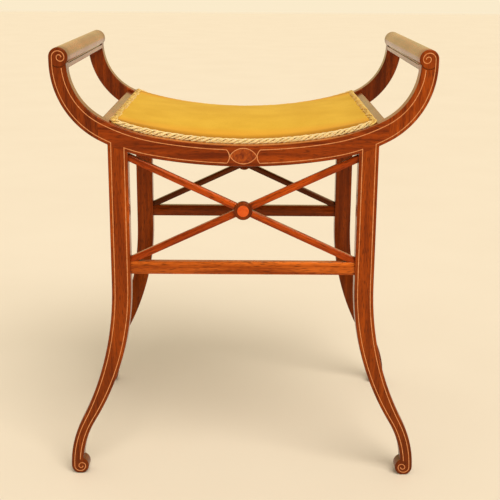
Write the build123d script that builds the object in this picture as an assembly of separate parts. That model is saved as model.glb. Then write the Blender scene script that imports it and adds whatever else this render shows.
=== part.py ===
from build123d import *

import os
from math import atan, cos, degrees, radians, sin, sqrt

# Strung mahogany stool with scrolled arms, an X brace front and back, and a stuffed velvet seat.
# Millimetres. X runs along the seat, Y from front to back, +Z is up.
# The origin is on the floor, below the middle of the seat.
# Shapes are drawn for the front right quarter (+X, -Y) and mirrored to the other three.

# Whole frame
DEPTH = 378.0  # front face to back face
FRAME_THICKNESS = 22.0  # rails, arms and legs, front to back
EDGE_ROUND = 2.0  # worn round on the long edges
JOINT_CLEARANCE = 0.1  # glue gap round tenons, dowels and housings

# Curved seat rail and arms, as seen from the front
RAIL_BOTTOM = 475.7  # underside of the rail at the middle, above the floor
RAIL_HEIGHT = 30.3  # rail face at the middle
MIDDLE_RADIUS = 761.0  # underside, between the legs
MIDDLE_TURN = 9.5  # degrees
SHOULDER_RADIUS = 257.0  # underside, over the legs
SHOULDER_TURN = 18.0  # degrees
ARM_REACH = 266.5  # middle of the stool to the outside of a scroll
NECK_WIDTH = 23.9  # arm face just under its scroll
NECK_RISE = 7.3  # straight neck between the arm's curve and the middle of the scroll
SCROLL_RADIUS = 13.4
QUIRK_RADIUS = 1.0  # inside corner where the scroll rolls back onto the neck
GROOVE_WIDTH = 1.6  # carved line under the scroll
GROOVE_DEPTH = 1.0

# Legs
LEG_REACH = 189.5  # middle of the stool to the outside of a leg
LEG_WIDTH = 28.0
KNEE_HEIGHT = 300.0  # the leg is straight above this
KNEE_SHARE = 0.74  # share of the leg's sweep that belongs to the knee
FOOT_REACH = 259.0  # middle of the stool to the outside of a foot
FOOT_RADIUS = 13.0
ANKLE_WIDTH = 18.0
SOLE_FLAT = 0.5  # depth of the flat worn on the round foot
LEG_TENON_WIDTH = 13.0
LEG_TENON_HEIGHT = 12.0
TENON_THICKNESS = 8.0

# Stretchers and X braces
STRETCHER_BOTTOM = 316.3
STRETCHER_HEIGHT = 19.0
STRETCHER_THICKNESS = 14.0
STRETCHER_SWELL = 2.5  # rise of the rounded front and back
STRETCHER_TENON = 12.0
STRETCHER_TENON_HEIGHT = 12.0
BRACE_WIDTH = 10.0
BRACE_THICKNESS = 10.0
BRACE_SWELL = 1.8
BRACE_DROP = 8.2  # middle of a brace below the rail, where it meets the leg
BRACE_RISE = 1.0  # middle of a brace above the stretcher, where it meets the leg
BRACE_HOUSING = 2.0  # depth that a brace is let into leg and stretcher
BOSS_RADIUS = 13.3
BOSS_SINK = 2.0  # depth that the boss is let into the crossing
BOSS_SETBACK = 0.6  # boss face behind the face of the frame
BOSS_ROUND = 2.4
SPIGOT_RADIUS = 2.5
SPIGOT_LENGTH = 5.0
DISC_RADIUS = 8.2
DISC_THICKNESS = 2.0

# Arm joints, handrails and end rails
ARM_JOINT_GAP = 12.5  # arm joint beyond the outside of the leg
END_RAIL_WIDTH = 28.5
END_REBATE = 4.6  # step down along the outer top edge of the end rail, outside the seat
HANDRAIL_NECK = 16.5  # underside of the handrail below the middle of its roll
HANDRAIL_QUIRK = 1.6  # radius of the hollow along the handrail, under its roll
DOWEL_RADIUS = 3.0
DOWEL_LENGTH = 30.0
DOWEL_SPACING = 10.5
END_DOWEL_BURY = 11.0  # end rail dowel inside the seat rail
CORNER_BLOCK_SIDE = 34.0
CORNER_BLOCK_HEIGHT = 17.0
SCREW_RADIUS = 2.0
SCREW_LENGTH = 24.0
SCREW_HEAD_RADIUS = 3.8
SCREW_HEAD_DEPTH = 2.4
SCREW_BITE = 10.0  # screw length inside the rail
SCREW_PLACE = 0.62  # share of the block's side, from the corner

# Stringing let into the faces, and the oval in the middle of the rail
STRING_WIDTH = 1.1
STRING_DEPTH = 1.0
STRING_INSET = 4.8  # from the edge of leg, arm and underside of the rail
STRING_INSET_TOP = 6.6  # from the top edge of rail and arm
OVAL_HALF_WIDTH = 18.8
OVAL_HALF_HEIGHT = 11.0
BRACKET_FLARE = 4.6  # ends of the brackets beyond the tips of the oval
SPIRAL_STEP = 0.62  # each half turn of a spiral against the one before it
SPIRAL_HALF_TURNS = 3

# Seat
SEAT_MARGIN = 14.0  # wood in front of the seat and behind it
SEAT_END_MARGIN = 16.0  # wood at the ends of the seat
WEB_WIDTH = 50.0
WEB_THICKNESS = 1.2
WEB_COUNT_ALONG = 5  # straps from end to end
WEB_COUNT_ACROSS = 5  # straps from front to back
HESSIAN_THICKNESS = 0.6
COVER_THICKNESS = 1.0
LAYER_MARGIN = 4.0  # webbing and hessian inside the front and back edge of the seat
LAYER_END_MARGIN = 6.0  # the same at its ends
SEAT_EDGE_HEIGHT = 6.4  # seat above the rail, at the middle of its front and back edge
SEAT_END_HEIGHT = 2.6  # the same at its ends
SEAT_CROWN = 14.0  # rise of the middle above the edge
SEAT_EDGE_ROUND = 5.0
SEAT_CLEARANCE = 0.2  # cloth above wood
BRAID_THICKNESS = 2.2
BRAID_LAP = 4.5  # braid over the top of the seat
BRAID_CORNER = 5.0

# Worked out from the sizes above
FRONT = -DEPTH / 2
INSIDE = FRONT + FRAME_THICKNESS
MIDPLANE = FRONT + FRAME_THICKNESS / 2
SHOULDER_END = MIDDLE_TURN + SHOULDER_TURN
LEG_INNER = LEG_REACH - LEG_WIDTH
LEG_MIDDLE = LEG_REACH - LEG_WIDTH / 2
FOOT_X = FOOT_REACH - FOOT_RADIUS
FOOT_Z = FOOT_RADIUS - SOLE_FLAT
SCROLL_X = ARM_REACH - SCROLL_RADIUS
NECK_INNER = ARM_REACH - NECK_WIDTH
JOINT_X = LEG_REACH + ARM_JOINT_GAP
END_RAIL_INNER = JOINT_X - END_RAIL_WIDTH
STRETCHER_TOP = STRETCHER_BOTTOM + STRETCHER_HEIGHT
SEAT_HALF_X = JOINT_X - SEAT_END_MARGIN
SEAT_HALF_Y = DEPTH / 2 - SEAT_MARGIN
FAR = 2 * max(DEPTH, ARM_REACH, RAIL_BOTTOM)  # larger than anything here


def ahead(x, z, heading, size, turn, share=1.0):
    """Point and heading after a straight (turn 0) or an arc of that radius (left turns positive)."""
    if turn == 0:
        return x + share * size * cos(radians(heading)), z + share * size * sin(radians(heading)), heading
    radius = size if turn > 0 else -size
    middle_x = x - radius * sin(radians(heading))
    middle_z = z + radius * cos(radians(heading))
    heading += share * turn
    return middle_x + radius * sin(radians(heading)), middle_z - radius * cos(radians(heading)), heading


def trail(start, heading, *moves):
    """Chain of tangent moves, each kept with the point and heading it starts from."""
    steps = []
    x, z = start
    for size, turn in moves:
        steps.append((x, z, heading, size, turn))
        x, z, heading = ahead(x, z, heading, size, turn)
    return steps


def edges_along(steps, shift=0.0):
    """Edges of a trail, moved sideways to its left by shift."""
    edges = []
    for x, z, heading, size, turn in steps:
        x -= shift * sin(radians(heading))
        z += shift * cos(radians(heading))
        if turn == 0:
            edges.append(Line((x, z), ahead(x, z, heading, size, turn)[:2]))
            continue
        size += -shift if turn > 0 else shift
        half_way = ahead(x, z, heading, size, turn, 0.5)[:2]
        edges.append(ThreePointArc((x, z), half_way, ahead(x, z, heading, size, turn)[:2]))
    return edges


def between(first, second):
    """Face between two rows of edges that run the same way."""
    start_cap = Line(first[0] @ 0, second[0] @ 0)
    end_cap = Line(first[-1] @ 1, second[-1] @ 1)
    return make_face(first + second + [start_cap, end_cap])


def ribbon(steps, shift, other_shift):
    return between(edges_along(steps, shift), edges_along(steps, other_shift))


def height_on(steps, x):
    """Height of a rising trail above x."""
    for step_x, step_z, heading, radius, turn in steps:
        middle_x = step_x - radius * sin(radians(heading))
        middle_z = step_z + radius * cos(radians(heading))
        if x <= middle_x + radius * sin(radians(heading + turn)):
            break
    return middle_z - sqrt(radius**2 - (x - middle_x) ** 2)


def window(x_low, x_high, z_low=-FAR, z_high=FAR):
    """Upright rectangle that trims a face."""
    middle = ((x_low + x_high) / 2, (z_low + z_high) / 2)
    return Pos(*middle) * Rectangle(x_high - x_low, z_high - z_low)


def both_sides(face):
    return face + mirror(face, about=Plane.YZ)


def slab(face, y_low, y_high):
    """Solid of an upright face, from one depth to another."""
    return extrude(Plane.XZ.offset(-y_high) * face, y_high - y_low)


def block(x_low, x_high, y_low, y_high, z_low, z_high):
    middle = ((x_low + x_high) / 2, (y_low + y_high) / 2, (z_low + z_high) / 2)
    return Pos(*middle) * Box(x_high - x_low, y_high - y_low, z_high - z_low)


def rod(radius, start, direction, length):
    """Round rod from a point along a direction."""
    return Plane(origin=start, z_dir=direction) * Cylinder(
        radius, length, align=(Align.CENTER, Align.CENTER, Align.MIN)
    )


def rounded_slab(face, y_low, y_high):
    """Slab whose front and back edges are worn round."""
    solid = slab(face, y_low, y_high)
    rims = solid.faces().sort_by(Axis.Y)
    return fillet(rims[0].edges() + rims[-1].edges(), EDGE_ROUND)


def quarter(solid, side_x, side_y):
    """Front right shape, mirrored to the side asked for."""
    if side_x < 0:
        solid = mirror(solid, about=Plane.YZ)
    if side_y > 0:
        solid = mirror(solid, about=Plane.XZ)
    return solid


# Underside and top of the rail and arm. The top has the same turns, and radii that close on the neck.
FIRST_SIN, FIRST_COS = sin(radians(MIDDLE_TURN)), cos(radians(MIDDLE_TURN))
SECOND_SIN, SECOND_COS = sin(radians(SHOULDER_END)), cos(radians(SHOULDER_END))
ARM_RADIUS = (
    ARM_REACH - MIDDLE_RADIUS * FIRST_SIN - SHOULDER_RADIUS * (SECOND_SIN - FIRST_SIN)
) / (1 - SECOND_SIN)
NECK_Z = (
    RAIL_BOTTOM
    + MIDDLE_RADIUS * (1 - FIRST_COS)
    + SHOULDER_RADIUS * (FIRST_COS - SECOND_COS)
    + ARM_RADIUS * SECOND_COS
)
SCROLL_Z = NECK_Z + NECK_RISE
TOP_MIDDLE_RADIUS = MIDDLE_RADIUS - RAIL_HEIGHT
SPAN_LEFT = NECK_INNER - TOP_MIDDLE_RADIUS * FIRST_SIN
RISE_LEFT = NECK_Z - RAIL_BOTTOM - RAIL_HEIGHT - TOP_MIDDLE_RADIUS * (1 - FIRST_COS)
SHARED = (SECOND_SIN - FIRST_SIN) * SECOND_COS - (1 - SECOND_SIN) * (FIRST_COS - SECOND_COS)
TOP_SHOULDER_RADIUS = (SPAN_LEFT * SECOND_COS - RISE_LEFT * (1 - SECOND_SIN)) / SHARED
TOP_ARM_RADIUS = (RISE_LEFT * (SECOND_SIN - FIRST_SIN) - SPAN_LEFT * (FIRST_COS - SECOND_COS)) / SHARED

underside = trail(
    (0, RAIL_BOTTOM),
    0,
    (MIDDLE_RADIUS, MIDDLE_TURN),
    (SHOULDER_RADIUS, SHOULDER_TURN),
    (ARM_RADIUS, 90 - SHOULDER_END),
    (NECK_RISE, 0),
)
top_edge = trail(
    (0, RAIL_BOTTOM + RAIL_HEIGHT),
    0,
    (TOP_MIDDLE_RADIUS, MIDDLE_TURN),
    (TOP_SHOULDER_RADIUS, SHOULDER_TURN),
    (TOP_ARM_RADIUS, 90 - SHOULDER_END),
    (NECK_RISE, 0),
)


def leg_edge(x_top, x_foot):
    """Side of a leg from under the rail to the middle of the foot: straight, knee out, ankle upright."""
    start_z = height_on(underside, LEG_REACH) + LEG_TENON_HEIGHT / 4
    drop = KNEE_HEIGHT - FOOT_Z
    turn = 2 * degrees(atan((x_foot - x_top) / drop))
    sweep = drop / sin(radians(turn))
    straight = (start_z - KNEE_HEIGHT, 0)
    knee = (KNEE_SHARE * sweep, turn)
    ankle = ((1 - KNEE_SHARE) * sweep, -turn)
    return trail((x_top, start_z), -90, straight, knee, ankle)


leg_outside = leg_edge(LEG_REACH, FOOT_REACH)
leg_inside = leg_edge(LEG_INNER, FOOT_REACH - ANKLE_WIDTH)


def rolled_face(face, roll_x, roll_z, roll_radius, corner_x, corner_side):
    """Face with a round roll on its end, and the inside corner beside the roll eased."""
    face = face + Pos(roll_x, roll_z) * Circle(roll_radius)
    corner_z = roll_z + corner_side * sqrt(roll_radius**2 - (corner_x - roll_x) ** 2)
    corner = face.vertices().sort_by_distance(Vector(corner_x, corner_z, 0))[0]
    return fillet(corner, QUIRK_RADIUS)


# Faces of the curved frame and of a leg, as seen from the front
half_band = between(edges_along(underside), edges_along(top_edge))
half_frame = rolled_face(half_band, SCROLL_X, SCROLL_Z, SCROLL_RADIUS, NECK_INNER, -1)
frame_face = both_sides(half_frame)
leg_blank = between(edges_along(leg_outside), edges_along(leg_inside))
leg_face = rolled_face(leg_blank, FOOT_X, FOOT_Z, FOOT_RADIUS, FOOT_REACH - ANKLE_WIDTH, 1)
leg_face = leg_face & window(-FAR, FAR, 0, FAR)


def spiral(x, z, heading, radius, hand):
    """String that rolls up into the eye of a scroll."""
    moves = []
    for _ in range(SPIRAL_HALF_TURNS):
        moves.append((radius, hand * 180))
        radius *= SPIRAL_STEP
    return ribbon(trail((x, z), heading, *moves), -STRING_WIDTH / 2, STRING_WIDTH / 2)


def string_beside(steps, inset):
    """String along an edge, at an inset to its left."""
    return ribbon(steps, inset - STRING_WIDTH / 2, inset + STRING_WIDTH / 2)


def stringing_faces():
    """Strings of one frame, as seen from the front."""
    half_width = STRING_WIDTH / 2
    oval_z = RAIL_BOTTOM + RAIL_HEIGHT / 2
    tip = OVAL_HALF_WIDTH + half_width
    bracket_end = tip + BRACKET_FLARE
    above = ribbon(underside, STRING_INSET + half_width, RAIL_HEIGHT / 2 + STRING_INSET)

    upper = string_beside(top_edge, -STRING_INSET_TOP) & window(bracket_end, FAR)
    upper -= Pos(SCROLL_X, SCROLL_Z) * Circle(SCROLL_RADIUS + GROOVE_WIDTH)
    low = string_beside(underside, STRING_INSET)
    low_rail = low & window(bracket_end, LEG_INNER + STRING_INSET + half_width)
    low_arm = low & window(LEG_REACH - STRING_INSET - half_width, FAR)
    leg_in = string_beside(leg_inside, STRING_INSET) - above
    leg_out = string_beside(leg_outside, -STRING_INSET) - above
    scroll = spiral(ARM_REACH - STRING_INSET, SCROLL_Z, 90, SCROLL_RADIUS - STRING_INSET, 1)
    foot = spiral(FOOT_REACH - STRING_INSET, FOOT_Z, -90, FOOT_RADIUS - STRING_INSET, -1)
    inner_foot = Pos(FOOT_X, FOOT_Z) * Circle(FOOT_RADIUS - STRING_INSET / 2)
    inner_path = low_rail + (leg_in - inner_foot)
    outer_path = low_arm + scroll + leg_out + foot

    # Brackets between the ends of the rail strings touch the tips of the oval
    string_top = RAIL_BOTTOM + RAIL_HEIGHT - STRING_INSET_TOP
    string_low = RAIL_BOTTOM + STRING_INSET
    waist = ((string_top - string_low) / 2 + half_width, (string_top + string_low) / 2)
    bend = (waist[0] ** 2 + BRACKET_FLARE**2) / (2 * BRACKET_FLARE)
    ring = Circle(bend + half_width) - Circle(bend - half_width)
    bracket = Pos(tip + bend, waist[1]) * ring
    reach_low = height_on(underside, bracket_end) + STRING_INSET - half_width
    reach_high = height_on(top_edge, bracket_end) - STRING_INSET_TOP + half_width
    bracket = bracket & window(0, bracket_end + half_width, reach_low, reach_high)
    half = inner_path + outer_path + (upper + bracket)
    return both_sides(half) + oval_face(half_width, oval_z) - oval_face(-half_width, oval_z)


def oval_face(grow, oval_z):
    """Pointed oval of two arcs, larger by grow on each side."""
    width = OVAL_HALF_WIDTH + grow
    height = OVAL_HALF_HEIGHT + grow
    low = ThreePointArc((-width, oval_z), (0, oval_z - height), (width, oval_z))
    high = ThreePointArc((-width, oval_z), (0, oval_z + height), (width, oval_z))
    return make_face([low, high])


strings = stringing_faces()
stringing = slab(strings, FRONT, FRONT + STRING_DEPTH)
oval_veneer = slab(
    oval_face(-STRING_WIDTH / 2, RAIL_BOTTOM + RAIL_HEIGHT / 2), FRONT, FRONT + STRING_DEPTH
)


# Stretcher between the legs, rounded front and back, with a tenon at each end
def swelled_section(width, thickness, swell):
    """Section of a bar whose two faces swell out."""
    flat = thickness / 2 - swell
    half = width / 2
    front = ThreePointArc((-half, -flat), (0, -thickness / 2), (half, -flat))
    back = ThreePointArc((-half, flat), (0, thickness / 2), (half, flat))
    return make_face([front, back, Line((-half, -flat), (-half, flat)), Line((half, -flat), (half, flat))])


STRETCHER_MIDDLE = STRETCHER_BOTTOM + STRETCHER_HEIGHT / 2
stretcher_plane = Plane(origin=(-LEG_INNER, MIDPLANE, STRETCHER_MIDDLE), x_dir=(0, 0, 1), z_dir=(1, 0, 0))
stretcher_section = swelled_section(STRETCHER_HEIGHT, STRETCHER_THICKNESS, STRETCHER_SWELL)
stretcher_bar = extrude(stretcher_plane * stretcher_section, 2 * LEG_INNER)


def stretcher_tenons(gap):
    reach = LEG_INNER + STRETCHER_TENON + gap
    half_height = STRETCHER_TENON_HEIGHT / 2 + gap
    half_thickness = TENON_THICKNESS / 2 + gap
    return block(
        -reach,
        reach,
        MIDPLANE - half_thickness,
        MIDPLANE + half_thickness,
        STRETCHER_MIDDLE - half_height,
        STRETCHER_MIDDLE + half_height,
    )


# X brace: two bars halved where they cross, let into the legs and the stretcher
BRACE_HIGH = height_on(underside, LEG_INNER) - BRACE_DROP
BRACE_LOW = STRETCHER_TOP + BRACE_RISE
CROSSING_Z = (BRACE_HIGH + BRACE_LOW) / 2
BRACE_SLOPE = degrees(atan((BRACE_HIGH - BRACE_LOW) / (2 * LEG_INNER)))


def brace_bar(hand, gap):
    """One bar of the X, rising to the right for hand +1, cut to its housings."""
    run = Vector(cos(radians(BRACE_SLOPE)), 0, hand * sin(radians(BRACE_SLOPE)))
    across = Vector(-hand * sin(radians(BRACE_SLOPE)), 0, cos(radians(BRACE_SLOPE)))
    start = Vector(0, MIDPLANE, CROSSING_Z) - run * LEG_REACH
    section = swelled_section(BRACE_WIDTH + 2 * gap, BRACE_THICKNESS + 2 * gap, BRACE_SWELL)
    bar = extrude(Plane(origin=start, x_dir=across, z_dir=run) * section, 2 * LEG_REACH)
    reach = LEG_INNER + BRACE_HOUSING + gap
    floor = STRETCHER_TOP - BRACE_HOUSING - gap
    return bar & block(-reach, reach, -FAR, FAR, floor, FAR)


brace_up = brace_bar(1, 0)
brace_down = brace_bar(-1, 0)
brace_room = brace_bar(1, JOINT_CLEARANCE) + brace_bar(-1, JOINT_CLEARANCE)
front_half = block(-FAR, FAR, FRONT, MIDPLANE, 0, FAR)
back_half = block(-FAR, FAR, MIDPLANE, INSIDE, 0, FAR)
lap_up = brace_bar(1, JOINT_CLEARANCE) & front_half
lap_down = brace_bar(-1, JOINT_CLEARANCE) & back_half


def boss_solid(gap):
    """Turned boss over the crossing, with a spigot into the brace."""
    face_y = FRONT + BOSS_SETBACK
    seat_y = MIDPLANE - BRACE_THICKNESS / 2 + BOSS_SINK + gap
    turned = rod(BOSS_RADIUS + gap, (0, face_y, CROSSING_Z), (0, 1, 0), seat_y - face_y)
    if gap == 0:
        turned = fillet(turned.edges().sort_by(Axis.Y)[0], BOSS_ROUND)
    spigot = rod(SPIGOT_RADIUS + gap, (0, seat_y, CROSSING_Z), (0, 1, 0), SPIGOT_LENGTH)
    return turned + spigot


boss_disc = rod(DISC_RADIUS, (0, FRONT + BOSS_SETBACK, CROSSING_Z), (0, 1, 0), DISC_THICKNESS)
boss = boss_solid(0) - boss_disc
boss_room = boss_solid(JOINT_CLEARANCE)
brace_up = brace_up - lap_down - boss_room
brace_down = brace_down - lap_up - boss_room
stretcher = stretcher_bar + stretcher_tenons(0) - brace_room


# Leg with its tenon, coped to the underside of the rail
def leg_tenon(gap):
    shoulder = height_on(underside, LEG_MIDDLE)
    half_width = LEG_TENON_WIDTH / 2 + gap
    half_thickness = TENON_THICKNESS / 2 + gap
    return block(
        LEG_MIDDLE - half_width,
        LEG_MIDDLE + half_width,
        MIDPLANE - half_thickness,
        MIDPLANE + half_thickness,
        shoulder - LEG_TENON_HEIGHT,
        shoulder + LEG_TENON_HEIGHT + gap,
    )


leg = rounded_slab(leg_face, FRONT, INSIDE) - slab(half_band, FRONT, INSIDE) + leg_tenon(0)
leg = leg - stringing - stretcher_tenons(JOINT_CLEARANCE) - brace_room

# Carved line round the lower side of a scroll, from the quirk to the outer string
groove_ring = Circle(SCROLL_RADIUS + GROOVE_WIDTH / 2) - Circle(SCROLL_RADIUS - GROOVE_WIDTH / 2)
groove_room = window(0, ARM_REACH - STRING_INSET - STRING_WIDTH, 0, SCROLL_Z - SCROLL_RADIUS / 2)
groove = slab(Pos(SCROLL_X, SCROLL_Z) * groove_ring & groove_room, FRONT, FRONT + GROOVE_DEPTH)

# Rail and arms. The edges stay square where a leg, a handrail or an end rail meets them.
round_frame = rounded_slab(frame_face, FRONT, INSIDE)
square_frame = slab(frame_face, FRONT, INSIDE)
lower_half = slab(both_sides(ribbon(underside, 0, RAIL_HEIGHT / 2)), FRONT, INSIDE)
round_top = round_frame + (square_frame & lower_half)
over_leg = block(LEG_INNER, LEG_REACH, FRONT, INSIDE, 0, FAR)
over_legs = over_leg + mirror(over_leg, about=Plane.YZ)
whole_frame = (round_frame - over_legs) + (round_top & over_legs)
roll_face = half_frame & window(0, FAR, SCROLL_Z - HANDRAIL_NECK, FAR)
end_rail_face = half_band & window(END_RAIL_INNER, JOINT_X)
end_rail_face -= ribbon(top_edge, EDGE_ROUND, -END_REBATE) & window(SEAT_HALF_X, FAR)
whole_frame = whole_frame - stringing - oval_veneer
for hand in (1, -1):
    whole_frame -= quarter(groove, hand, -1)
    whole_frame += quarter(slab(roll_face, MIDPLANE, INSIDE), hand, -1)
    whole_frame += quarter(slab(end_rail_face, MIDPLANE, INSIDE), hand, -1)
for hand in (1, -1):
    whole_frame -= quarter(leg_tenon(JOINT_CLEARANCE), hand, -1)

# Dowels. The arm dowels lie along X at the arm joint, side by side.
JOINT_Z = (height_on(underside, JOINT_X) + height_on(top_edge, JOINT_X)) / 2
END_DOWEL_X = JOINT_X - DOWEL_LENGTH / 2 - 2 * DOWEL_RADIUS
END_DOWEL_Z = (height_on(underside, END_DOWEL_X) + height_on(top_edge, END_DOWEL_X)) / 2 + DOWEL_RADIUS
HANDRAIL_DOWEL_Z = SCROLL_Z - DOWEL_RADIUS / 2


def arm_dowels(gap):
    start = JOINT_X - DOWEL_LENGTH / 2 - gap
    length = DOWEL_LENGTH + 2 * gap
    front = rod(DOWEL_RADIUS + gap, (start, MIDPLANE - DOWEL_SPACING / 2, JOINT_Z), (1, 0, 0), length)
    back = rod(DOWEL_RADIUS + gap, (start, MIDPLANE + DOWEL_SPACING / 2, JOINT_Z), (1, 0, 0), length)
    return front + back


def pair_along_y(x, z, spacing, bury, gap):
    """Two dowels, one above the other, from inside the frame back into a rail between the frames."""
    start = INSIDE - bury - gap
    length = DOWEL_LENGTH + 2 * gap
    low = rod(DOWEL_RADIUS + gap, (x, start, z - spacing / 2), (0, 1, 0), length)
    high = rod(DOWEL_RADIUS + gap, (x, start, z + spacing / 2), (0, 1, 0), length)
    return low + high


def end_rail_dowels(gap):
    return pair_along_y(END_DOWEL_X, END_DOWEL_Z, 3 * DOWEL_RADIUS, END_DOWEL_BURY, gap)


def handrail_dowels(gap):
    return pair_along_y(SCROLL_X, HANDRAIL_DOWEL_Z, DOWEL_SPACING, END_DOWEL_BURY, gap)


for hand in (1, -1):
    whole_frame -= quarter(arm_dowels(JOINT_CLEARANCE), hand, -1)
    whole_frame -= quarter(end_rail_dowels(JOINT_CLEARANCE), hand, -1)
    whole_frame -= quarter(handrail_dowels(JOINT_CLEARANCE), hand, -1)

# Handrail with the section of the scroll and a hollow under the roll, and end rail with that of the seat rail
# less its rebate
quirk_z = SCROLL_Z - sqrt(SCROLL_RADIUS**2 - (SCROLL_X - NECK_INNER) ** 2)
handrail = slab(roll_face - Pos(NECK_INNER, quirk_z) * Circle(HANDRAIL_QUIRK), INSIDE, -INSIDE)
handrail = fillet(handrail.edges().filter_by(Axis.Y).group_by(Axis.Z)[0], EDGE_ROUND)
end_rail = slab(end_rail_face, INSIDE, -INSIDE)
end_rail = fillet(end_rail.edges().filter_by(Axis.Y).group_by(Axis.X)[-1], EDGE_ROUND)
for face_side in (-1, 1):
    handrail -= quarter(handrail_dowels(JOINT_CLEARANCE), 1, face_side)
    end_rail -= quarter(end_rail_dowels(JOINT_CLEARANCE), 1, face_side)

# Corner block under the seat, screwed to the seat rail and to the end rail
BLOCK_BOTTOM = height_on(underside, END_RAIL_INNER)
SCREW_Z = BLOCK_BOTTOM + CORNER_BLOCK_HEIGHT / 2
corner = Pos(END_RAIL_INNER, INSIDE) * Polygon(
    (0, 0), (0, CORNER_BLOCK_SIDE), (-CORNER_BLOCK_SIDE, 0), align=None
)
corner_block = extrude(Pos(0, 0, BLOCK_BOTTOM) * corner, CORNER_BLOCK_HEIGHT)


def screw(tip, direction, gap):
    """Countersunk screw from its tip back to its head; with a gap, the room that it needs."""
    tip = Vector(*tip)
    direction = Vector(*direction)
    shank = rod(SCREW_RADIUS + gap, tip - direction * gap, direction, SCREW_LENGTH)
    head_plane = Plane(origin=tip + direction * (SCREW_LENGTH - SCREW_HEAD_DEPTH), z_dir=direction)
    head = head_plane * Cone(
        SCREW_RADIUS + gap,
        SCREW_HEAD_RADIUS + gap,
        SCREW_HEAD_DEPTH,
        align=(Align.CENTER, Align.CENTER, Align.MIN),
    )
    if gap == 0:
        return shank + head
    way_in = rod(SCREW_HEAD_RADIUS + gap, tip + direction * SCREW_LENGTH, direction, CORNER_BLOCK_SIDE)
    return shank + head + way_in


def corner_screws(gap):
    place = SCREW_PLACE * CORNER_BLOCK_SIDE
    into_rail = screw((END_RAIL_INNER - place, INSIDE - SCREW_BITE, SCREW_Z), (0, 1, 0), gap)
    into_end = screw((END_RAIL_INNER + SCREW_BITE, INSIDE + place, SCREW_Z), (-1, 0, 0), gap)
    return into_rail + into_end


corner_block -= corner_screws(JOINT_CLEARANCE)
for hand in (1, -1):
    whole_frame -= quarter(corner_screws(JOINT_CLEARANCE), hand, -1)
for face_side in (-1, 1):
    end_rail -= quarter(corner_screws(JOINT_CLEARANCE), 1, face_side)

rail_room = block(-JOINT_X, JOINT_X, -FAR, FAR, 0, FAR)
arm_room = block(JOINT_X, FAR, -FAR, FAR, 0, FAR)
seat_rail = whole_frame & rail_room
arm = whole_frame & arm_room


# Seat: straps, hessian, stuffing, velvet cover and braid, all following the top of the rails
def layer(low, high, half_x):
    """Curved face of a layer, between two heights above the rail."""
    return both_sides(ribbon(top_edge, low, high)) & window(-half_x, half_x)


def spread(count, half, width):
    """Middles of straps spread evenly, with the outer ones inside the ends."""
    pitch = 2 * (half - width / 2) / (count - 1)
    return [-half + width / 2 + pitch * index for index in range(count)]


WEB_HALF_X = SEAT_HALF_X - LAYER_END_MARGIN
WEB_HALF_Y = SEAT_HALF_Y - LAYER_MARGIN
ALONG_HALF_Y = DEPTH / 2 - FRAME_THICKNESS - WEB_THICKNESS
ACROSS_HALF_X = END_RAIL_INNER - WEB_THICKNESS
HESSIAN_BASE = 2 * WEB_THICKNESS + SEAT_CLEARANCE
HESSIAN_TOP = HESSIAN_BASE + HESSIAN_THICKNESS
STUFFING_BASE = HESSIAN_TOP + SEAT_CLEARANCE


def pad(inset, base):
    """Crowned seat pad, smaller by inset on every side, down to a height above the rail."""
    half_x = SEAT_HALF_X - inset
    half_y = SEAT_HALF_Y - inset
    bottom = RAIL_BOTTOM + RAIL_HEIGHT - SEAT_EDGE_HEIGHT
    end_z = height_on(top_edge, SEAT_HALF_X) + SEAT_END_HEIGHT - inset
    middle_z = RAIL_BOTTOM + RAIL_HEIGHT + SEAT_EDGE_HEIGHT - inset
    turn_in = SEAT_EDGE_ROUND * (1 - sqrt(0.5))
    stations = [0, turn_in, SEAT_EDGE_ROUND, half_y / 2, half_y]
    stations += [2 * half_y - station for station in reversed(stations[:-1])]
    sections = []
    for station in stations:
        y = station - half_y
        near = min(station, 2 * half_y - station, SEAT_EDGE_ROUND)
        sink = SEAT_EDGE_ROUND - sqrt(SEAT_EDGE_ROUND**2 - (SEAT_EDGE_ROUND - near) ** 2)
        crown = SEAT_CROWN * (1 - (y / half_y) ** 2)
        shoulder_x = half_x - SEAT_EDGE_ROUND
        shoulder_z = end_z - sink
        side_z = shoulder_z - SEAT_EDGE_ROUND
        bend = (half_x - turn_in, shoulder_z - turn_in)
        top = ThreePointArc(
            (-shoulder_x, shoulder_z), (0, middle_z + crown - sink), (shoulder_x, shoulder_z)
        )
        right = ThreePointArc((shoulder_x, shoulder_z), bend, (half_x, side_z))
        left = ThreePointArc((-shoulder_x, shoulder_z), (-bend[0], bend[1]), (-half_x, side_z))
        walls = Polyline((half_x, side_z), (half_x, bottom), (-half_x, bottom), (-half_x, side_z))
        outline = make_face([top, right, left] + walls.edges())
        sections.append(Plane.XZ.offset(-y) * outline)
    below = ribbon(top_edge, base, base - 2 * (end_z - bottom))
    return loft(sections, ruled=True) - slab(both_sides(below), -FAR, FAR)


webs_along = []
for y in spread(WEB_COUNT_ALONG, ALONG_HALF_Y, WEB_WIDTH):
    strap = layer(SEAT_CLEARANCE, WEB_THICKNESS, WEB_HALF_X)
    webs_along.append(slab(strap, y - WEB_WIDTH / 2, y + WEB_WIDTH / 2))
webs_across = []
for x in spread(WEB_COUNT_ACROSS, ACROSS_HALF_X, WEB_WIDTH):
    strap = layer(WEB_THICKNESS, 2 * WEB_THICKNESS, WEB_HALF_X) & window(x - WEB_WIDTH / 2, x + WEB_WIDTH / 2)
    webs_across.append(slab(strap, -WEB_HALF_Y, WEB_HALF_Y))
hessian = slab(layer(HESSIAN_BASE, HESSIAN_TOP, WEB_HALF_X), -WEB_HALF_Y, WEB_HALF_Y)
stuffing = pad(COVER_THICKNESS, STUFFING_BASE)
cover = pad(0, SEAT_CLEARANCE) - pad(COVER_THICKNESS, 0)


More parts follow.
